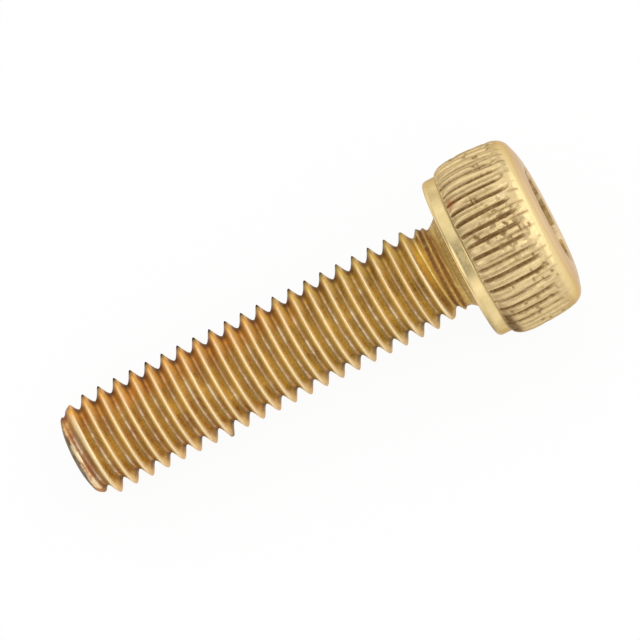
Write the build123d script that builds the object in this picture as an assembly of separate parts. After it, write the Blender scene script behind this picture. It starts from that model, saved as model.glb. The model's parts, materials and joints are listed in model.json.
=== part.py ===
from build123d import *
from math import atan2, ceil, degrees, radians, sqrt, tan
import os

# A knurled socket head cap screw, M3 x 12, fully threaded, upset and rolled as one piece of brass.
# It is drawn upright on its own axis: the bearing face of the head is at height 0, the head above it
# and the shank below. It is then laid down as it comes to rest, on two ridges of the knurl and the
# last full crest of the thread, with its tip towards -X. The origin stays at the centre of the
# bearing face. Lengths are millimetres and angles are degrees.

# ---- shank and thread ----
shank_length = 12.0  # bearing face to tip
thread_diameter = 2.88  # over the crests, low in the tolerance band of an M3 screw
thread_pitch = 0.5
thread_angle = 60.0  # between the flanks of one groove
crest_share = 0.22  # width of the crest as a share of the pitch
tip_diameter = 2.18  # flat end of the shank, just inside the root of the thread
tip_taper_length = 0.42
last_crest_height = 0.735  # tip to the middle of the last full crest, which the screw rests on
neck_diameter = 2.18  # plain neck under the head, just inside the root of the thread
neck_length = 0.48  # bearing face to the first thread, with its flare
seat_flare = 0.42  # 45 degrees, from neck to bearing face, wider than the thread
runout_length = 0.4  # cone over which the crests fade into the neck

# ---- head ----
head_height = 2.86
collar_diameter = 4.82  # plain band between bearing face and knurl
collar_height = 0.48
collar_chamfer = 0.12  # 45 degrees, at the edge of the bearing face
shoulder_height = 0.36  # slope from collar to knurl
knurl_diameter = 5.34  # over the ridges
bevel_drop = 0.14  # conical end of the ridges, which their grooves run out on
bevel_height = 0.3
corner_radius = 0.32  # top edge of the head
crown_rise = 0.11  # from the rim of the top face up to the mouth of the socket
ridge_count = 44
groove_depth = 0.12
groove_angle = 70.0

# ---- hex socket ----
socket_across_flats = 2.5
socket_depth = 1.45
socket_point_angle = 120.0  # conical floor under the hexagon
mouth_clearance = 0.06  # how far the countersunk mouth reaches past the corners of the hexagon
mouth_angle = 120.0

# ---- worked out from the above ----
thread_radius = thread_diameter / 2
crest_width = thread_pitch * crest_share
flank_slope = tan(radians(thread_angle / 2))
thread_depth = (thread_pitch - crest_width) / 2 / flank_slope
root_radius = thread_radius - thread_depth
taper_start = tip_taper_length - shank_length
last_crest = last_crest_height - shank_length
neck_radius = neck_diameter / 2

knurl_radius = knurl_diameter / 2
ridge_start = collar_height + shoulder_height
rim_height = head_height - crown_rise
corner_start = rim_height - corner_radius
ridge_end = corner_start - bevel_height
mouth_radius = socket_across_flats / sqrt(3) + mouth_clearance


def quarter_round(start, corner, end):
    """A quarter round from start to end as one cubic curve, tangent to both sides of the corner."""
    pull = 4 / 3 * (sqrt(2) - 1)
    near_start = Vector(*start) + (Vector(*corner) - Vector(*start)) * pull
    near_end = Vector(*end) + (Vector(*corner) - Vector(*end)) * pull
    return Bezier(start, near_start, near_end, end)


def shank_outline():
    """The shank below the neck without its groove: runout cone, thread cylinder and tapered tip."""
    with BuildPart() as shank:
        with BuildSketch(Plane.XZ):
            with BuildLine():
                Polyline(
                    (0, -neck_length),
                    (neck_radius, -neck_length),
                    (thread_radius, -neck_length - runout_length),
                    (thread_radius, taper_start),
                    (tip_diameter / 2, -shank_length),
                    (0, -shank_length),
                    close=True,
                )
            make_face()
        revolve(axis=Axis.Z)
    return shank.part


def thread_path(bottom, top):
    """A right-handed helix at the root of the thread, as a chain of half turns."""
    half_turns = ceil((top - bottom) / thread_pitch * 2)
    half_turn = Helix(pitch=thread_pitch, height=thread_pitch / 2, radius=root_radius)
    chain = [
        Pos(0, 0, bottom + index * thread_pitch / 2) * Rotation(0, 0, 180 * index) * half_turn
        for index in range(half_turns)
    ]
    return Wire([edge for turn in chain for edge in turn.edges()])


def thread_groove():
    """The helical groove between the crests, from beyond the tip to the neck."""
    overrun = thread_depth / 3
    bottom = last_crest - 2.5 * thread_pitch
    half_mouth = (thread_depth + overrun) * flank_slope
    outside = thread_radius + overrun
    profile = Plane.XZ * Polygon(
        (root_radius, bottom),
        (outside, bottom - half_mouth),
        (outside, bottom + half_mouth),
        align=None,
    )
    return sweep(profile, path=thread_path(bottom, -neck_length), is_frenet=True)


def threaded_shank():
    """A grooved rod, trimmed to the outline of the shank so that the groove runs out at both ends."""
    rod = Cylinder(thread_radius, shank_length, align=(Align.CENTER, Align.CENTER, Align.MAX))
    return (rod - thread_groove()) & shank_outline()


def head_blank():
    """Neck and head before knurling: collar, shoulder, ridges, rounded corner and crowned top."""
    collar_radius = collar_diameter / 2
    bevel_radius = knurl_radius - bevel_drop
    bevel_end = (bevel_radius, corner_start)
    rim = (bevel_radius - corner_radius, rim_height)
    with BuildPart() as head:
        with BuildSketch(Plane.XZ):
            with BuildLine():
                Polyline(
                    (0, -neck_length),
                    (neck_radius, -neck_length),
                    (neck_radius, -seat_flare),
                    (neck_radius + seat_flare, 0),
                    (collar_radius - collar_chamfer, 0),
                    (collar_radius, collar_chamfer),
                    (collar_radius, collar_height),
                    (knurl_radius, ridge_start),
                    (knurl_radius, ridge_end),
                    bevel_end,
                )
                quarter_round(bevel_end, (bevel_radius, rim_height), rim)
                Polyline(
                    rim,
                    (mouth_radius, head_height),
                    (0, head_height),
                    (0, -neck_length),
                )
            make_face()
        revolve(axis=Axis.Z)
    return head.part


def knurl_grooves():
    """The straight grooves between the ridges. The first one faces +X, which becomes the underside."""
    groove_bottom = knurl_radius - groove_depth
    depth = 2 * groove_depth
    half_width = depth * tan(radians(groove_angle / 2))
    with BuildPart() as grooves:
        with BuildSketch(Plane.XY.offset(collar_height)):
            with PolarLocations(0, ridge_count):
                Polygon(
                    (groove_bottom, 0),
                    (groove_bottom + depth, half_width),
                    (groove_bottom + depth, -half_width),
                    align=None,
                )
        extrude(amount=head_height - collar_height)
    return grooves.part


def hex_socket():
    """The socket as a solid: countersunk mouth, hexagon and conical floor."""
    flat_radius = socket_across_flats / 2
    mouth_depth = mouth_radius / tan(radians(mouth_angle / 2))
    point_depth = flat_radius / tan(radians(socket_point_angle / 2))
    hanging = (Align.CENTER, Align.CENTER, Align.MAX)
    with BuildPart() as socket:
        with BuildSketch(Plane.XY.offset(head_height)):
            RegularPolygon(flat_radius, 6, major_radius=False)
        extrude(amount=-socket_depth)
        with Locations((0, 0, head_height)):
            Cone(0, mouth_radius, mouth_depth, align=hanging)
        with Locations((0, 0, head_height - socket_depth)):
            Cone(0, flat_radius, point_depth, align=hanging)
    return socket.part


def rest_tilt():
    """How far the lying axis rises from tip to head, from the last full crest to the ridges."""
    lowest_point = last_crest - crest_width / 2
    return degrees(atan2(knurl_radius - thread_radius, ridge_start - lowest_point))


def cap_screw():
    """The whole screw, lying on a level surface with the centre of its bearing face at the origin."""
    head = head_blank() - knurl_grooves() - hex_socket()
    screw = head + threaded_shank()
    return Rotation(0, 90 - rest_tilt(), 0) * screw


os.makedirs("parts", exist_ok=True)
part = cap_screw()
part.label = "cap_screw"
export_step(part, "parts/cap_screw.step")
print(f"axis rises {rest_tilt():.2f} degrees from tip to head, volume {part.volume:.2f} mm3")
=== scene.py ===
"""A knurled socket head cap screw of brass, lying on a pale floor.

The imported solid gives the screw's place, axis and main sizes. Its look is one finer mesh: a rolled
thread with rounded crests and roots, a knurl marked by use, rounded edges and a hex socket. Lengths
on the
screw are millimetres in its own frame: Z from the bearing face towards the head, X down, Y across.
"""
import bpy
import bmesh
import json
import numpy as np
from math import cos, pi, radians, sin, sqrt
from mathutils import Matrix, Vector


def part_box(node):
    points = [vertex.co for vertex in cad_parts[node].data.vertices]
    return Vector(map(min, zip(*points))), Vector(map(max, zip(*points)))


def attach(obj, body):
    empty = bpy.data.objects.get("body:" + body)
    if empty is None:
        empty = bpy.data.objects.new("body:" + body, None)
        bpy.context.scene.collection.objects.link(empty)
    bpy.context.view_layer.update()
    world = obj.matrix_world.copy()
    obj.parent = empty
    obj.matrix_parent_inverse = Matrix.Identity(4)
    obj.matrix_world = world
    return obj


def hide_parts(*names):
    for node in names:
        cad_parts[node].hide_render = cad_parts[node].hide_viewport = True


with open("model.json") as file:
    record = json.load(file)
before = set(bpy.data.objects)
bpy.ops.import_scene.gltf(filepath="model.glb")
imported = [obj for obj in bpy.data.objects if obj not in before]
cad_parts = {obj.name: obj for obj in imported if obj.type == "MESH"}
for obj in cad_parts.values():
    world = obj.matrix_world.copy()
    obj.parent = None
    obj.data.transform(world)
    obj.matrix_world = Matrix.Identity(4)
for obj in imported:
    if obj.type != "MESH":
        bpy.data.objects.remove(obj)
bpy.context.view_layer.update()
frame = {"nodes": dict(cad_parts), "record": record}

# ---- what the frame gives ----
MM = 0.001
solid = frame["nodes"]["cap_screw"]
mounts = {mount["name"]: mount for mount in frame["record"]["mounts"]}
seat = Vector(mounts["head_seat"]["pos_m"])
screw_axis = -Vector(mounts["head_seat"]["axis"]).normalized()
level_side = Vector((0, 1, 0))
downwards = level_side.cross(screw_axis)
own_axes = Matrix((downwards, level_side, screw_axis)).transposed().to_4x4()
placed = Matrix.Translation(seat) @ own_axes
heights = [(vertex.co - seat).dot(screw_axis) / MM for vertex in solid.data.vertices]
shank_length = -min(heights)
head_height = max(heights)
crest_radius = mounts["threaded_shank"]["dims"]["r_mm"]
floor_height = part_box("cap_screw")[0].z

# ---- thread ----
PITCH = 0.5
LAST_CREST = 0.697  # above the tip, on the underside
ROOT_RADIUS = 1.10
FLANK_DEPTH = 0.42
FLANK_HOLLOW = 1.6  # 1 is a straight flank; more hollows it out
CREST_ROUNDING = 0.11
CREST_EXCESS = 0.015  # makes up for what the rounding takes off
UNEVEN_CREST = 0.008
ROUGH_THREAD = 0.005
EDGE_BURR = 0.04
EDGE_BURR_REACH = 0.4  # radians
BURR_HEIGHT = 0.1
TIP_TAPER = ((0, 0.05, 0.10, 0.34, 0.5, 0.7), (1.09, 1.17, 1.21, 1.34, 1.43, 1.6))
TIP_DOME = 0.15
TIP_RADIUS = 1.1
NECK_FADE = ((-1.3, -0.75, -0.48, -0.2), (1.5, 1.34, 1.31, 1.2))
NECK_RINGS = ((-0.61, 0.1, 0.09), (-0.40, 0.06, 0.05))  # height, half width, depth
FLARE = ((1.115, -0.56), (1.13, -0.36), (1.5, 0))  # radius and height, up to the bearing face
FLARE_STEPS = 24
JOIN_HEIGHT = -0.2  # where the flare under the head takes over from the thread
TURN_STEPS = 99
PITCH_STEPS = 16
CLOSER_STEPS = 0.6  # 0 spaces the steps of a pitch evenly; more draws them to crest and root

# ---- head ----
COLUMNS_PER_STEP = 5  # head columns for each column of the thread
HEAD_STEPS = TURN_STEPS * COLUMNS_PER_STEP
COLLAR_RADIUS = 2.40
COLLAR_EDGE = 0.15
SHOULDER = ((COLLAR_RADIUS + 0.005, 0.43), (2.52, 0.45), (2.63, 0.60), (2.65, 1.02))
BARREL = ((2.65, 1.02), (2.665, 1.4), (2.63, 1.9), (2.585, 2.14))
RIM_RADIUS = 2.2
RIM_HEIGHT = 2.66
RIM_BREAK = 0.015
CORNER = ((2.585, 2.14), (2.55, 2.42), (2.44, 2.59), (RIM_RADIUS + RIM_BREAK, RIM_HEIGHT - 0.008))
FACE_DROP = 0.08  # the worn top face lies this far under the solid's
FACE_BEND_RADIUS = 1.85
face_height = head_height - FACE_DROP

# ---- knurl ----
RIDGES = 44
GROOVE_RADIUS = 2.6
GROOVE_DEPTH = 0.12
GROOVE_HALF_WIDTH = 0.085
GROOVE_START = 0.45
GROOVE_END = 2.28
GROOVE_RUNOUT = 0.3
HOOK_START = 1.95  # above this height the grooves curve aside
HOOK = 0.6
RIDGE_CROWN = 0.03
RIDGE_HALF_PITCH = pi * GROOVE_RADIUS / RIDGES
FINE_DEPTH = 0.06
FINE_HALF_WIDTH = 0.06
CLOSER_COLUMNS = 0.4  # draws the columns of the mesh to the grooves

# ---- hex socket ----
ACROSS_FLATS = 2.5
SOCKET_DEPTH = 1.45
SOCKET_POINT = 0.7  # depth of the conical floor
MOUTH_RADIUS = ACROSS_FLATS / sqrt(3) + 0.06

# ---- places of wear, painted shade and painted highlights, as angle in the screw's own frame, height, and reach in radians and millimetres ----
TOP = radians(-159.66)  # the side that is uppermost in the picture's middle
UPPER_EDGE = TOP - pi / 2
LOWER_EDGE = TOP + pi / 2
SCUFFED = (TOP - radians(7), 1.72, 0.36, 0.5)
RED_SPOT = (TOP - radians(36), 0.62, 0.07, 0.13)
# Painted highlight at a scratch on the knurl.
BRIGHT_SPOT = (TOP - radians(27), 1.95, 0.07, 0.16)
CHIP = (UPPER_EDGE + 0.1, -5.23, 0.25, 0.12)
BURR = (LOWER_EDGE, -7.9, 0.2, 0.15)
# Painted shade on the knurl's lower corner by the collar.
SHOULDER_SHADE_WEDGE = (TOP + radians(68), 0.56, 0.42, 0.16)
BROWN_FRINGE = (TOP + radians(60), 0.02, 0.45, 0.11)
COLLAR_TOP = 0.42
FLANK_START = 0.12  # from the middle of a crest

# ---- camera ----
DISTANCE = 0.4
FRAME_WIDTH = 0.01787
ROLL = radians(27.13)
TOWARDS_HEAD = radians(4.6)
OFF_VERTICAL = radians(20.34)
AIM_HEIGHT = -4.25
AIM_ASIDE = 0.29
overhead = -downwards * cos(OFF_VERTICAL) - level_side * sin(OFF_VERTICAL)
beside_screw = overhead.cross(screw_axis)


def smooth_min(a, b, width):
    """The lesser of two values, with a rounded change from one to the other."""
    blend = np.clip(0.5 + 0.5 * (b - a) / width, 0, 1)
    return b + (a - b) * blend - width * blend * (1 - blend)


def smooth_max(a, b, width):
    return -smooth_min(-a, -b, width)


def band(value, centre, half_width):
    """1 at the centre, falling to 0 on both sides."""
    return np.clip(1 - np.abs(value - centre) / half_width, 0, 1)


def stripe(value, centre, half_width, gain):
    """A band with a flat middle, wider as the gain grows."""
    return np.clip(gain * band(value, centre, half_width), 0, 1)


def slope(value, none, full):
    """0 at one value and beyond, 1 at the other and beyond."""
    return np.clip((value - none) / (full - none), 0, 1)


def bezier(points, steps):
    """Points along a Bezier curve through its control points, without the first."""
    t = np.linspace(0, 1, steps + 1)[1:, None]
    points = [np.array(point, float)[None, :] for point in points]
    while len(points) > 1:
        points = [a + (b - a) * t for a, b in zip(points, points[1:])]
    return points[0]


def wave_noise(angle, height, seed, around, along):
    """Smooth noise of about -1 to 1 on a cylinder, from waves of a few directions."""
    waves = np.random.default_rng(seed)
    total = 0
    count = 7
    for _ in range(count):
        turns = waves.integers(1, around + 1)
        climb = waves.uniform(-along, along)
        total = total + np.sin(turns * angle + climb * height + waves.uniform(0, 2 * pi))
    return total / sqrt(count / 2) / 2


def scattered(seed, count, low, high, radius, reach, depth):
    """Small dents as angle, height, half widths around and along, and depth."""
    draws = np.random.default_rng(seed)
    angle = draws.uniform(0, 2 * pi, count)
    height = low + (high - low) * draws.beta(2.0, 1.5, count)
    around = draws.uniform(0.5, 1.5, count) * reach / radius
    along = draws.uniform(0.3, 0.8, count) * reach
    return list(zip(angle, height, around, along, draws.uniform(0.4, 1, count) * depth))


NICKS = scattered(61, 60, -11.6, -1, crest_radius, 0.12, 0.05)
MARKS = scattered(67, 150, 0.6, 2.45, 2.62, 0.07, 0.035)


def turned(angle, centre):
    """How far an angle is from a centre, in radians."""
    return np.abs((angle - centre + pi) % (2 * pi) - pi)


def patch(angle, height, centre, level, around, along):
    """1 at a place on the screw, falling smoothly to 0 around it."""
    return np.exp(-((turned(angle, centre) / around) ** 2) - ((height - level) / along) ** 2)


def dents(angle, height, places):
    """Depth of all dents at each point."""
    total = 0
    for at, level, around, along, depth in places:
        total = total + depth * patch(angle, height, at, level, around, along)
    return total


def beside_crest(angle, height):
    """How far a point lies from the nearest crest, more than 0 towards the head."""
    crest = LAST_CREST - shank_length + PITCH * angle / (2 * pi)
    return (height - crest + PITCH / 2) % PITCH - PITCH / 2


def flare_radius(height):
    """The flare from the neck to the bearing face."""
    curve = np.vstack([FLARE[0], bezier(FLARE, FLARE_STEPS)])
    return np.interp(height, curve[:, 1], curve[:, 0])


def shank_radius(angle, height):
    """The thread, trimmed by its taper at the tip and fading out under the head."""
    offset = np.abs(beside_crest(angle, height))
    flank = ROOT_RADIUS + FLANK_DEPTH * (1 - 2 * offset / PITCH) ** FLANK_HOLLOW
    burr = EDGE_BURR * slope(turned(angle, UPPER_EDGE), EDGE_BURR_REACH, 0)
    burr = burr + BURR_HEIGHT * patch(angle, height, *BURR)
    uneven = UNEVEN_CREST * wave_noise(angle, height, 11, 5, 9)
    top = crest_radius + CREST_EXCESS + uneven + burr - dents(angle, height, NICKS)
    rolled = smooth_min(flank + burr, top, CREST_ROUNDING)
    rolled = rolled + ROUGH_THREAD * wave_noise(angle, height, 13, 40, 60)
    rolled = smooth_min(rolled, np.interp(height + shank_length, *TIP_TAPER), 0.03)
    fade = np.interp(height, *NECK_FADE)
    for level, half_width, depth in NECK_RINGS:
        fade = fade - depth * band(height, level, half_width)
    rolled = smooth_min(rolled, fade, 0.04)
    return smooth_max(rolled, flare_radius(height), 0.03)


def shank_grid():
    """Vertices in rows that climb with the thread, ending in rings at the tip and the join."""
    angles = np.arange(TURN_STEPS) * 2 * pi / TURN_STEPS
    steps = np.arange(PITCH_STEPS) / PITCH_STEPS
    steps = steps - CLOSER_STEPS * np.sin(4 * pi * steps) / (4 * pi)
    turns = int(shank_length / PITCH) + 4
    climb = np.concatenate([steps + turn for turn in range(-3, turns - 3)]) * PITCH
    height = LAST_CREST - shank_length + climb[:, None] + PITCH * angles[None, :] / (2 * pi)
    angle = np.broadcast_to(angles, height.shape)
    clipped = np.clip(height, -shank_length, JOIN_HEIGHT)
    radius = shank_radius(angle, clipped)
    overrun = -shank_length - height
    radius = np.where(overrun > 0, np.maximum(radius - overrun, 0.3), radius)
    dome = TIP_DOME * (1 - (np.minimum(radius, TIP_RADIUS) / TIP_RADIUS) ** 3)
    clipped = np.where(overrun > 0, -shank_length - dome, clipped)
    radius = np.where(height >= JOIN_HEIGHT, flare_radius(JOIN_HEIGHT), radius)
    return angle, clipped, radius


def head_outline():
    """Radius and height over the flare, collar, barrel and rounded corner to the socket."""
    join = (float(flare_radius(JOIN_HEIGHT)), JOIN_HEIGHT)
    flare = bezier(FLARE, FLARE_STEPS)
    flare = flare[flare[:, 1] > JOIN_HEIGHT + 0.02][::2]
    collar_face = (COLLAR_RADIUS - COLLAR_EDGE, 0)
    collar_side = (COLLAR_RADIUS, COLLAR_EDGE)
    rim = (RIM_RADIUS - RIM_BREAK, RIM_HEIGHT)
    lip = (MOUTH_RADIUS + 0.05, face_height)
    mouth = (MOUTH_RADIUS - 0.02, face_height - 0.02)
    curves = (
        ((FLARE[-1], collar_face), 4),
        ((collar_face, (COLLAR_RADIUS - 0.01, 0), collar_side), 6),
        ((collar_side, SHOULDER[0]), 5),
        (SHOULDER, 12),
        (BARREL, 22),
        (CORNER, 16),
        ((CORNER[-1], rim), 1),
        ((rim, (FACE_BEND_RADIUS, face_height), lip), 8),
        ((lip, (MOUTH_RADIUS, face_height), mouth), 3),
    )
    return np.vstack([join, flare] + [bezier(points, steps) for points, steps in curves])


def hexagon(angle):
    """Distance from the axis to the walls of the socket."""
    sector = (angle + pi / 6) % (pi / 3) - pi / 6
    return ACROSS_FLATS / 2 / np.cos(sector)


def knurled(angle, radius, height):
    """The head's outline with its grooves, each a little different in depth and place."""
    nearest = np.round(angle / (2 * pi) * RIDGES)
    number = nearest.astype(int) % RIDGES
    draws = np.random.default_rng(23)
    sideways = draws.normal(0, 0.012, RIDGES)[number]
    deeper = draws.normal(1, 0.12, RIDGES)[number]
    lean = draws.normal(0, 0.008, RIDGES)[number]
    ends = draws.normal(GROOVE_END, 0.07, RIDGES)[number]
    hook = HOOK * np.clip(height - HOOK_START, 0, 1) ** 2
    wander = 0.008 * wave_noise(angle, height, 31, 30, 5)
    offset = (angle - nearest * 2 * pi / RIDGES) * GROOVE_RADIUS + hook
    offset = np.abs(offset - sideways - lean * (height - 1.5) - wander)
    fade = slope(height, GROOVE_START, GROOVE_START + 0.07)
    fade = fade * slope(height, ends, ends - GROOVE_RUNOUT) ** 0.6
    depth = GROOVE_DEPTH * fade * (deeper + 0.25 * wave_noise(angle, height, 37, 60, 9))
    groove = depth * slope(offset, GROOVE_HALF_WIDTH, 0) ** 1.2
    crown = RIDGE_CROWN * fade * slope(offset, 0, RIDGE_HALF_PITCH) ** 2
    second = FINE_DEPTH * fade * fine_groove(angle, height)
    return radius - groove - second + crown - RIDGE_CROWN * fade


def fine_groove(angle, height):
    """A shallow, broken second line along each ridge, 1 in its middle."""
    number = np.floor(angle / (2 * pi) * RIDGES)
    draws = np.random.default_rng(29)
    aside = draws.uniform(-0.05, 0.05, RIDGES)[number.astype(int) % RIDGES]
    offset = (angle / (2 * pi) * RIDGES - number - 0.5) * 2 * RIDGE_HALF_PITCH - aside
    offset = np.abs(offset - 0.01 * wave_noise(angle, height, 43, 50, 9))
    broken = np.clip(0.9 + 1.2 * wave_noise(angle, height, 47, 70, 6), 0, 1)
    strength = np.interp(turned(angle, TOP - 0.3), (0.6, 1.0), (1.0, 0.3))
    return slope(offset, FINE_HALF_WIDTH, 0) * broken * strength


def head_grid():
    """Vertices of the head in rings from the flare to the floor of the socket."""
    angles = np.arange(HEAD_STEPS) * 2 * pi / HEAD_STEPS
    outline = head_outline()
    outside = slope(outline[:, 1:], GROOVE_START, GROOVE_START + 0.1)
    outside = np.minimum(outside, slope(outline[:, :1], 2.1, 2.4))
    angle = angles - outside * CLOSER_COLUMNS * np.sin(RIDGES * angles) / RIDGES
    height = np.repeat(outline[:, 1:], HEAD_STEPS, 1)
    radius = np.repeat(outline[:, :1], HEAD_STEPS, 1)
    side = (height > GROOVE_START) & (radius > RIM_RADIUS)
    cut = knurled(angle, radius, height)
    cut = cut + 0.003 * wave_noise(angle, height, 41, 90, 30) - dents(angle, height, MARKS)
    radius = np.where(side, cut, radius)
    walls = hexagon(angles)
    rings = [(walls, face_height - 0.06)]
    for depth in np.linspace(0.2, SOCKET_DEPTH, 6):
        rings.append((walls, face_height - depth))
    for share in (0.97, 0.8, 0.55, 0.3, 0.1):
        rings.append((walls * share, face_height - SOCKET_DEPTH - SOCKET_POINT * (1 - share)))
    inner_radius = np.array([ring for ring, _ in rings])
    inner_height = np.array([np.full(HEAD_STEPS, level) for _, level in rings])
    inner_angle = np.broadcast_to(angles, inner_radius.shape)
    return (
        np.vstack([angle, inner_angle]),
        np.vstack([height, inner_height]),
        np.vstack([radius, inner_radius]),
    )


def points_of(angle, height, radius):
    return np.stack([radius * np.cos(angle), radius * np.sin(angle), height], -1).reshape(-1, 3)


def ring_faces(rows, steps, first, shift):
    """Quads between rows of a closed grid. A climbing grid closes shift rows further on."""
    faces = []
    for row in range(rows - 1):
        for step in range(steps):
            after = (step + 1) % steps
            up = shift if after == 0 else 0
            corners = [(row, step), (row + up, after), (row + 1 + up, after), (row + 1, step)]
            if row + 1 + up < rows:
                faces.append([first + r * steps + s for r, s in corners])
    return faces


def thread_wear_and_painted_light(angle, height, uneven):
    """On the shank: painted shade lines along each flank, crests and roots paler as painted
    highlights, painted shade in near black, warm brown and rusty red by the silhouettes, dirt at the
    neck, and rusted roots.
    """
    beside = beside_crest(angle, height)
    on_flank = np.abs(beside) > FLANK_START
    threaded = slope(height, -0.8, -1.0)
    # Painted shade: dark lines on the flank towards the tip and by the root towards the head.
    lines = np.maximum(stripe(beside, -0.15, 0.12, 1.6), stripe(beside, 0.20, 0.06, 1.3))
    first_ring, second_ring = (ring[0] for ring in NECK_RINGS)
    neck = np.maximum(stripe(height, first_ring, 0.12, 1.5), stripe(height, second_ring, 0.07, 1.2))
    neck = np.maximum(neck, 0.6 * stripe(height, -0.5, 0.45, 1.5))

    # Painted shade by the silhouettes: near-black crest tips and valleys along the upper one, darker
    # flanks along the lower one.
    past_edge = (angle - UPPER_EDGE + pi) % (2 * pi) - pi
    to_upper = np.where(past_edge > 0, past_edge, -1.6 * past_edge)
    to_lower = turned(angle, LOWER_EDGE)
    leftward = np.interp(height, (-12, -11, -6, -2, -1), (0.7, 1, 1, 0.9, 0.6))
    patchy = 1.4 - 0.8 * (past_edge < -0.12) + 0.8 * wave_noise(angle, height, 71, 12, 3)
    tips = 1.1 * np.clip(patchy, 0, 1) * slope(to_upper, 0.56, 0.16)
    tips = tips * stripe(beside, -0.01, 0.08, 2)
    valleys = 0.6 * slope(to_upper, 0.55, 0.30) * on_flank
    edge = np.maximum(tips, valleys) * leftward * (height < -0.5)
    edge = np.maximum(edge, 0.6 * slope(to_lower, 0.45, 0.25) * threaded * on_flank)

    rust_and_shade = 0.6 * threaded * band(np.abs(beside), 0.2, 0.1) * slope(uneven, 0.4, 0.9)
    rust_and_shade = rust_and_shade * np.interp(height, (-12, -8, -3), (1, 0.7, 0))
    # Painted shade in rusty red: the valleys by the upper silhouette and the flanks by the lower
    # one.
    rust_and_shade = np.maximum(rust_and_shade, 1.2 * valleys * threaded)
    rust_and_shade = np.maximum(rust_and_shade, 0.35 * slope(to_lower, 0.5, 0.2) * threaded)
    # Painted highlight: a pale band over each crest, fading near the upper silhouette.
    crest = stripe(beside, 0.01, 0.10, 1.7) * slope(height, -0.64, -0.74)
    # Painted shade in warm brown over the flanks near the upper and lower silhouettes.
    flanks = np.maximum(slope(to_upper, 1.15, 0.65), 0.6 * slope(to_lower, 0.75, 0.40))
    return {
        "dirt_and_shade": np.maximum(lines * (0.6 + 0.4 * uneven) * threaded, neck),
        "crest": crest * (1 - slope(to_upper, 0.75, 0.50)),
        "flanks": flanks * threaded,
        # Painted highlight along each root.
        "root": (band(beside, 0.25, 0.07) + band(beside, -0.25, 0.1)) * threaded,
        "stain_and_shade": np.maximum(edge, 0.5 * band(height, first_ring, 0.08)),
        "rust_and_shade": np.maximum(rust_and_shade, 0.5 * stripe(height, -0.5, 0.35, 1.5)),
    }


def knurl_dirt_and_shade(angle, height, wedge):
    """Dirt and painted shade in the grooves and the fine lines, dirt in the dents, and painted shade
    on the corner by the collar.
    """
    around = (angle / (2 * pi) * RIDGES + 0.5) % 1 - 0.5
    groove = np.clip(1.3 - np.abs(around) / 0.16, 0, 1) * slope(height, GROOVE_END, 1.98)
    groove = np.maximum(groove, 0.9 * fine_groove(angle, height))
    marks = slope(dents(angle, height, MARKS), 0, 0.02)
    groove = np.maximum(groove * slope(height, COLLAR_TOP, COLLAR_TOP + 0.06), marks)
    return np.maximum(groove, np.clip(1.5 * wedge, 0, 1))


def wear_and_painted_light(points):
    """Marks of use, dirt, painted shade and painted highlights at each point, by the names that the
    material reads.
    """
    radius = np.hypot(points[:, 0], points[:, 1])
    angle = np.arctan2(points[:, 1], points[:, 0])
    height = points[:, 2]
    uneven = 0.5 + 0.5 * wave_noise(angle, height, 53, 9, 14)
    wear_and_light = thread_wear_and_painted_light(angle, height, uneven)

    side = (height > COLLAR_TOP) & (height < 2.5) & (radius > RIM_RADIUS)
    # Painted shade on the lower corner of the knurl by the collar.
    wedge = patch(angle, height, *SHOULDER_SHADE_WEDGE) * side
    fringe = patch(angle, height, *BROWN_FRINGE) * (radius > 2.0)
    # Painted shade under the head, over the flare and bearing face.
    under = 0.7 * (radius < RIM_RADIUS) * slope(height, -0.3, -0.2) * (height < 0.1)
    rim = (height < -shank_length + 0.03) * slope(radius, 0.6, 0.8)
    chipped = np.maximum(patch(angle, height, *CHIP), 0.8 * patch(angle, height, *BURR))

    inside = (radius < MOUTH_RADIUS - 0.03) & (height > 0)
    spots = np.clip(1.4 + 2 * wave_noise(angle, height, 59, 14, 12), 0, 1)
    # Painted shade in the socket: dark patches below the mouth, and the walls in dirt colours except
    # at bare glints.
    deep = 0.5 * inside * spots * stripe(height, face_height - 0.13, 0.12, 1.5)
    glints = np.clip(2.5 * wave_noise(angle, height, 83, 25, 12) - 0.6, 0, 0.6) * inside
    glints = glints * (radius > 1.24) * stripe(height, face_height - 0.2, 0.35, 2)
    socket_shade = inside * (1 - glints)

    dirt_and_shade = np.maximum(wear_and_light["dirt_and_shade"], under)
    dirt_and_shade = np.where(side, knurl_dirt_and_shade(angle, height, wedge), dirt_and_shade)
    stain_and_shade_parts = [wear_and_light["stain_and_shade"], 0.8 * fringe * uneven, 0.3 * wedge, deep, 0.75 * rim, chipped]
    wear_and_light["dirt_and_shade"] = np.maximum(dirt_and_shade, 0.65 * socket_shade)
    wear_and_light["flanks"] = np.maximum(wear_and_light["flanks"], 0.7 * socket_shade)
    wear_and_light["stain_and_shade"] = np.maximum.reduce(stain_and_shade_parts)
    wear_and_light["rust_and_shade"] = np.maximum(wear_and_light["rust_and_shade"], patch(angle, height, *RED_SPOT))
    # Painted highlight: a pale cream patch at a scratch on the knurl.
    wear_and_light["bright"] = patch(angle, height, *BRIGHT_SPOT)
    wear_and_light["knurl"] = side * slope(height, 2.45, 2.35) * slope(height, COLLAR_TOP, COLLAR_TOP + 0.1)
    wear_and_light["scuff"] = patch(angle, height, *SCUFFED) * side
    return wear_and_light


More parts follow.
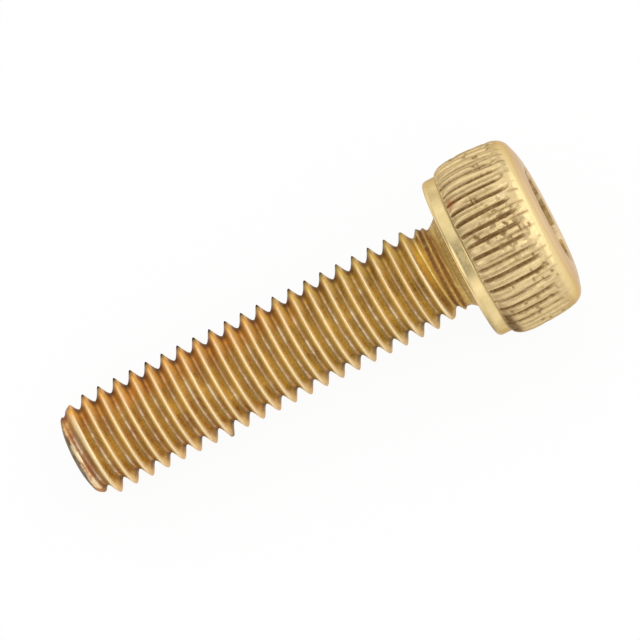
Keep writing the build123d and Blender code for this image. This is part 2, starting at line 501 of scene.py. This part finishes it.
def join_faces(top_row, first):
    """Triangles from the last row of the shank to the first, finer row of the head."""
    faces = []
    half = COLUMNS_PER_STEP // 2
    for step in range(TURN_STEPS):
        here, after = top_row + step, top_row + (step + 1) % TURN_STEPS
        columns = range(step * COLUMNS_PER_STEP, (step + 1) * COLUMNS_PER_STEP + 1)
        fine = [first + column % HEAD_STEPS for column in columns]
        faces += [[here, b, a] for a, b in zip(fine[:half], fine[1 : half + 1])]
        faces.append([here, after, fine[half]])
        faces += [[after, b, a] for a, b in zip(fine[half:-1], fine[half + 1 :])]
    return faces


def close_up(mesh):
    """Joins doubled points, closes the two ends and turns all faces outwards."""
    work = bmesh.new()
    work.from_mesh(mesh)
    bmesh.ops.remove_doubles(work, verts=work.verts, dist=1e-6)
    bmesh.ops.dissolve_degenerate(work, edges=work.edges, dist=1e-6)
    open_edges = [edge for edge in work.edges if edge.is_boundary]
    bmesh.ops.holes_fill(work, edges=open_edges, sides=0)
    bmesh.ops.recalc_face_normals(work, faces=work.faces)
    work.to_mesh(mesh)
    work.free()


def build_screw():
    """One closed mesh of shank and head, with its marks of use, painted shade and painted highlights
    as point attributes.
    """
    shank, head = shank_grid(), head_grid()
    shank_points, head_points = points_of(*shank), points_of(*head)
    count = len(shank_points)
    shank_rows, head_rows = shank[0].shape[0], head[0].shape[0]
    faces = ring_faces(shank_rows, TURN_STEPS, 0, PITCH_STEPS)
    faces += ring_faces(head_rows, HEAD_STEPS, count, 0)
    faces += join_faces((shank_rows - 1) * TURN_STEPS, count)
    mesh = bpy.data.meshes.new("screw")
    mesh.from_pydata(np.vstack([shank_points, head_points]).tolist(), [], faces)
    close_up(mesh)
    place = mesh.attributes.new("place", "FLOAT_VECTOR", "POINT")
    own = np.zeros(len(mesh.vertices) * 3, np.float32)
    mesh.vertices.foreach_get("co", own)
    place.data.foreach_set("vector", own)
    for name, values in wear_and_painted_light(own.reshape(-1, 3)).items():
        attribute = mesh.attributes.new(name, "FLOAT", "POINT")
        attribute.data.foreach_set("value", values.astype(np.float32))
    mesh.transform(placed @ Matrix.Diagonal((MM, MM, MM, 1)))
    mesh.shade_smooth()
    return added("screw", mesh)


def added(name, data):
    """A new object in the scene."""
    made = bpy.data.objects.new(name, data)
    bpy.context.scene.collection.objects.link(made)
    return made


class Graph:
    """Short calls for the nodes of a material or a world."""

    def __init__(self, owner):
        owner.use_nodes = True
        self.tree = owner.node_tree
        self.nodes = self.tree.nodes

    def node(self, kind, **inputs):
        made = self.nodes.new("ShaderNode" + kind)
        for name, value in inputs.items():
            self.feed(made.inputs[name.replace("_", " ")], value)
        return made

    def feed(self, socket, value):
        if hasattr(value, "is_linked"):
            self.tree.links.new(value, socket)
        else:
            socket.default_value = value

    def math(self, operation, a, b, clamp=False):
        made = self.nodes.new("ShaderNodeMath")
        made.operation = operation
        made.use_clamp = clamp
        self.feed(made.inputs[0], a)
        self.feed(made.inputs[1], b)
        return made.outputs[0]

    def plus(self, a, b):
        return self.math("ADD", a, b)

    def minus(self, a, b):
        return self.math("SUBTRACT", a, b)

    def times(self, a, b):
        return self.math("MULTIPLY", a, b)

    def most(self, a, b):
        return self.math("MAXIMUM", a, b)

    def point_value(self, attribute, output="Fac"):
        made = self.nodes.new("ShaderNodeAttribute")
        made.attribute_name = attribute
        return made.outputs[output]

    def noise(self, where, scale, detail=3.0):
        made = self.node("TexNoise", Vector=where, Scale=scale, Detail=detail, Roughness=0.6)
        return made.outputs["Fac"]

    def ramp(self, value, low, high, to_low=0.0, to_high=1.0):
        limits = {"From_Min": low, "From_Max": high, "To_Min": to_low, "To_Max": to_high}
        made = self.node("MapRange", Value=value, **limits)
        made.interpolation_type = "SMOOTHSTEP"
        return made.outputs["Result"]

    def mix(self, share, a, b):
        made = self.nodes.new("ShaderNodeMix")
        made.data_type = "RGBA"
        self.feed(made.inputs[0], share)
        self.feed(made.inputs[6], a)
        self.feed(made.inputs[7], b)
        return made.outputs[2]


HEAD_BRASS = (0.88, 0.68, 0.34, 1)
KNURL_BRASS = (0.66, 0.50, 0.26, 1)
THREAD_BRASS = (0.95, 0.72, 0.24, 1)
WARM_BRASS = (0.95, 0.68, 0.22, 1)
PINK_BRASS = (0.90, 0.70, 0.48, 1)
# Darker, greener brass in blotches on the collar.
COLLAR_DARK_BRASS = (0.56, 0.44, 0.20, 1)
# Dirt colour, also laid as painted shade in lines, grooves, under the head and in the socket.
TARNISH_AND_SHADE = (0.14, 0.055, 0.004, 1)
# Painted shade colours by the silhouettes, orange towards the tip and gold towards the head.
ORANGE_SHADE = (0.92, 0.40, 0.04, 1)
GOLD_SHADE = (0.74, 0.46, 0.07, 1)
# Rust colour, also laid as painted shade by the silhouettes.
RUST_AND_SHADE_RED = (0.42, 0.13, 0.04, 1)
EDGE_TINT = (0.72, 0.58, 0.42, 1)
# Painted highlight colour of the crests and of a scratch on the knurl.
HIGHLIGHT_CREAM = (0.97, 0.79, 0.49, 1)
# Root colours: a dimmer pink, and a pale painted highlight where the line is bright.
ROOT_PINK = (0.62, 0.40, 0.22, 1)
ROOT_HIGHLIGHT = (0.97, 0.78, 0.58, 1)
# Near black of stains, chips, the neck ring and the tip's rim, also laid as painted shade by the
# silhouettes, in the socket and on the knurl's corner.
STAIN_AND_SHADE_BLACK = (0.018, 0.009, 0.005, 1)


def bare_brass_and_highlights(g, place, height, specks, blotches):
    """Colour of the bare metal: pale on the head, warmer in the thread, pink on both ends, darker in
    blotches on the collar, with painted highlights on the crests, the roots and a scratch on the
    knurl.
    """
    thread = g.mix(g.ramp(height, -9.0, -3.0), WARM_BRASS, THREAD_BRASS)
    colour = g.mix(g.ramp(height, -0.25, 0.05), thread, HEAD_BRASS)
    colour = g.mix(g.ramp(height, RIM_HEIGHT - 0.02, RIM_HEIGHT + 0.02), colour, PINK_BRASS)
    colour = g.mix(g.ramp(height, -11.75, -11.6, 0.8, 0.0), colour, PINK_BRASS)
    speckled = g.ramp(specks, 0.2, 0.8, 0.5, 1.0)
    colour = g.mix(g.times(g.point_value("knurl"), speckled), colour, KNURL_BRASS)
    # Painted highlights: pale crests, and pale broken lines along the roots.
    colour = g.mix(g.point_value("crest"), colour, HIGHLIGHT_CREAM)
    root = g.mix(g.ramp(g.noise(place, 2.2), 0.46, 0.60), ROOT_PINK, ROOT_HIGHLIGHT)
    colour = g.mix(g.point_value("root"), colour, root)
    # The collar darker and greener in blotches.
    collar = g.times(g.ramp(height, 0.08, 0.14), g.ramp(height, 0.40, 0.50, 1.0, 0.0))
    collar_dark = g.times(g.times(collar, g.ramp(blotches, 0.35, 0.6)), 0.65)
    colour = g.mix(collar_dark, colour, COLLAR_DARK_BRASS)
    # Painted highlight on a scratch on the knurl.
    return g.mix(g.times(g.point_value("bright"), g.ramp(specks, 0.45, 0.6)), colour, HIGHLIGHT_CREAM)


def brass():
    """Bright brass, dirty, rusty, with stains and painted shade where the mesh says, and less
    metallic there.
    """
    material = bpy.data.materials.new("brass")
    g = Graph(material)
    shader = g.nodes["Principled BSDF"]
    place = g.point_value("place", "Vector")
    height = g.node("SeparateXYZ", Vector=place).outputs["Z"]
    crest, knurl = g.point_value("crest"), g.point_value("knurl")
    blotches = g.noise(place, 0.9)
    specks = g.noise(place, 9.0, 4.0)
    patches = g.noise(place, 3.0)
    colour = bare_brass_and_highlights(g, place, height, specks, blotches)

    # Painted shade in warm brown by the silhouettes and in the socket.
    edges = g.times(g.point_value("flanks"), g.ramp(patches, 0.3, 0.7, 0.6, 0.9))
    edges = g.times(edges, g.minus(1.0, g.times(crest, 0.7)))
    colour = g.mix(edges, colour, g.mix(g.ramp(height, -7.0, -3.0), ORANGE_SHADE, GOLD_SHADE))
    # Scuffs, dirt and painted shade in the dirt colour.
    scuff = g.times(g.point_value("scuff"), g.ramp(g.noise(place, 6.0, 2.0), 0.5, 0.58))
    grime_and_shade = g.most(g.point_value("dirt_and_shade"), scuff)
    grime_and_shade = g.times(g.times(grime_and_shade, g.ramp(specks, 0.2, 0.65, 0.6, 1.0)), 0.9)
    colour = g.mix(grime_and_shade, colour, TARNISH_AND_SHADE)
    # Rust, and painted shade in rusty red.
    rust_and_shade = g.times(g.point_value("rust_and_shade"), g.ramp(specks, 0.3, 0.7, 0.5, 1.0))
    colour = g.mix(rust_and_shade, colour, RUST_AND_SHADE_RED)
    tip_rust = g.times(g.ramp(height, -11.7, -11.8), g.ramp(patches, 0.45, 0.62))
    colour = g.mix(g.times(tip_rust, 0.7), colour, RUST_AND_SHADE_RED)
    # Stains, and painted shade, in near black.
    stain_patches = g.ramp(patches, 0.3, 0.5, 0.8, 1.0)
    stained_and_shaded = g.math("MULTIPLY", g.point_value("stain_and_shade"), stain_patches, clamp=True)
    colour = g.mix(stained_and_shaded, colour, STAIN_AND_SHADE_BLACK)
    g.feed(shader.inputs["Base Color"], colour)

    soiled_and_shaded = g.most(g.most(grime_and_shade, rust_and_shade), g.most(stained_and_shaded, edges))
    covered = g.most(g.times(soiled_and_shaded, 0.85), stained_and_shaded)
    g.feed(shader.inputs["Metallic"], g.minus(1.0, covered))
    g.feed(shader.inputs["Specular IOR Level"], g.minus(0.2, g.times(stained_and_shaded, 0.2)))
    shader.inputs["Specular Tint"].default_value = EDGE_TINT
    rough = g.plus(g.ramp(specks, 0.3, 0.7, 0.14, 0.26), g.times(soiled_and_shaded, 0.3))
    rough = g.plus(rough, g.times(knurl, 0.08))
    rough = g.plus(rough, g.times(g.most(crest, g.point_value("root")), 0.3))
    g.feed(shader.inputs["Roughness"], rough)
    bumps = g.plus(g.times(g.noise(place, 14.0, 5.0), 0.6), g.times(blotches, 2.0))
    bumps = g.plus(bumps, g.times(knurl, g.noise(place, 22.0)))
    bump = g.node("Bump", Strength=0.25, Distance=0.00001, Height=bumps)
    g.feed(shader.inputs["Normal"], bump.outputs[0])
    return material


FLOOR_HALF_SIZE = 0.5
FLOOR_GREY = (0.85, 0.85, 0.85, 1)
FLOOR_GLOW = 0.93  # share of plain white that the camera and reflections see


def pale_floor():
    """A level floor that looks white and keeps a faint shadow."""
    signs = ((-1, -1), (1, -1), (1, 1), (-1, 1))
    size = FLOOR_HALF_SIZE
    mesh = bpy.data.meshes.new("floor")
    mesh.from_pydata([(x * size, y * size, floor_height) for x, y in signs], [], [[0, 1, 2, 3]])
    material = bpy.data.materials.new("floor")
    g = Graph(material)
    shader = g.nodes["Principled BSDF"]
    shader.inputs["Base Color"].default_value = FLOOR_GREY
    shader.inputs["Roughness"].default_value = 0.9
    ray = g.node("LightPath").outputs
    seen = g.most(ray["Is Camera Ray"], g.most(ray["Is Glossy Ray"], ray["Is Transmission Ray"]))
    mix = g.node("MixShader", Fac=g.times(seen, FLOOR_GLOW))
    g.feed(mix.inputs[1], shader.outputs[0])
    g.feed(mix.inputs[2], g.node("Emission").outputs[0])
    g.feed(g.nodes["Material Output"].inputs["Surface"], mix.outputs[0])
    mesh.materials.append(material)
    return added("floor", mesh)


# ---- light: a plain level, and soft lobes of more of it ----
PLAIN_LEVEL = 0.40
BRIGHTEST = 1.6
LOBES = (
    # degrees towards the head from overhead, around the screw, inner and outer reach, level
    (25, 0, 22, 34, 1.35),
    (0, 68, 5, 60, 0.85),
    (0, -68, 5, 60, 0.85),
    (-40, 0, 14, 30, 0.95),
    (90, 0, 38, 58, 0.9),
)


def direction(along, around):
    """A direction as degrees from overhead of the screw: towards its head, and around it."""
    along, around = radians(along), radians(around)
    side = overhead * cos(around) + beside_screw * sin(around)
    return side * cos(along) + screw_axis * sin(along)


def lights():
    """A white world whose strength is even, with wide soft lobes where a studio has its lamps."""
    world = bpy.data.worlds.new("studio")
    bpy.context.scene.world = world
    g = Graph(world)
    where = g.node("TexCoord").outputs["Generated"]
    level = PLAIN_LEVEL
    for along, around, inner, outer, amount in LOBES:
        dot = g.nodes.new("ShaderNodeVectorMath")
        dot.operation = "DOT_PRODUCT"
        g.feed(dot.inputs[0], where)
        dot.inputs[1].default_value = direction(along, around)
        reach = cos(radians(outer)), cos(radians(inner))
        level = g.plus(level, g.ramp(dot.outputs["Value"], *reach, 0.0, amount))
    background = g.nodes["Background"]
    background.inputs["Color"].default_value = (1, 1, 1, 1)
    g.feed(background.inputs["Strength"], g.math("MINIMUM", level, BRIGHTEST))


def camera():
    """A distant camera over the screw, rolled as the picture shows it."""
    data = bpy.data.cameras.new("camera")
    viewer = added("camera", data)
    bpy.context.scene.camera = viewer
    back = overhead * cos(TOWARDS_HEAD) + screw_axis * sin(TOWARDS_HEAD)
    along = (screw_axis - back * screw_axis.dot(back)).normalized()
    beside = back.cross(along)
    right = along * cos(ROLL) - beside * sin(ROLL)
    up = along * sin(ROLL) + beside * cos(ROLL)
    aim = seat + screw_axis * AIM_HEIGHT * MM + beside * AIM_ASIDE * MM
    axes = Matrix((right, up, back)).transposed().to_4x4()
    viewer.matrix_world = Matrix.Translation(aim + back * DISTANCE) @ axes
    data.sensor_width = 36
    data.lens = data.sensor_width * DISTANCE / FRAME_WIDTH
    data.clip_start, data.clip_end = 0.01, 10


screw = build_screw()
screw.data.materials.append(brass())
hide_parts("cap_screw")
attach(screw, "root")
pale_floor()
lights()
camera()

scene = bpy.context.scene
scene.view_settings.view_transform = "Standard"
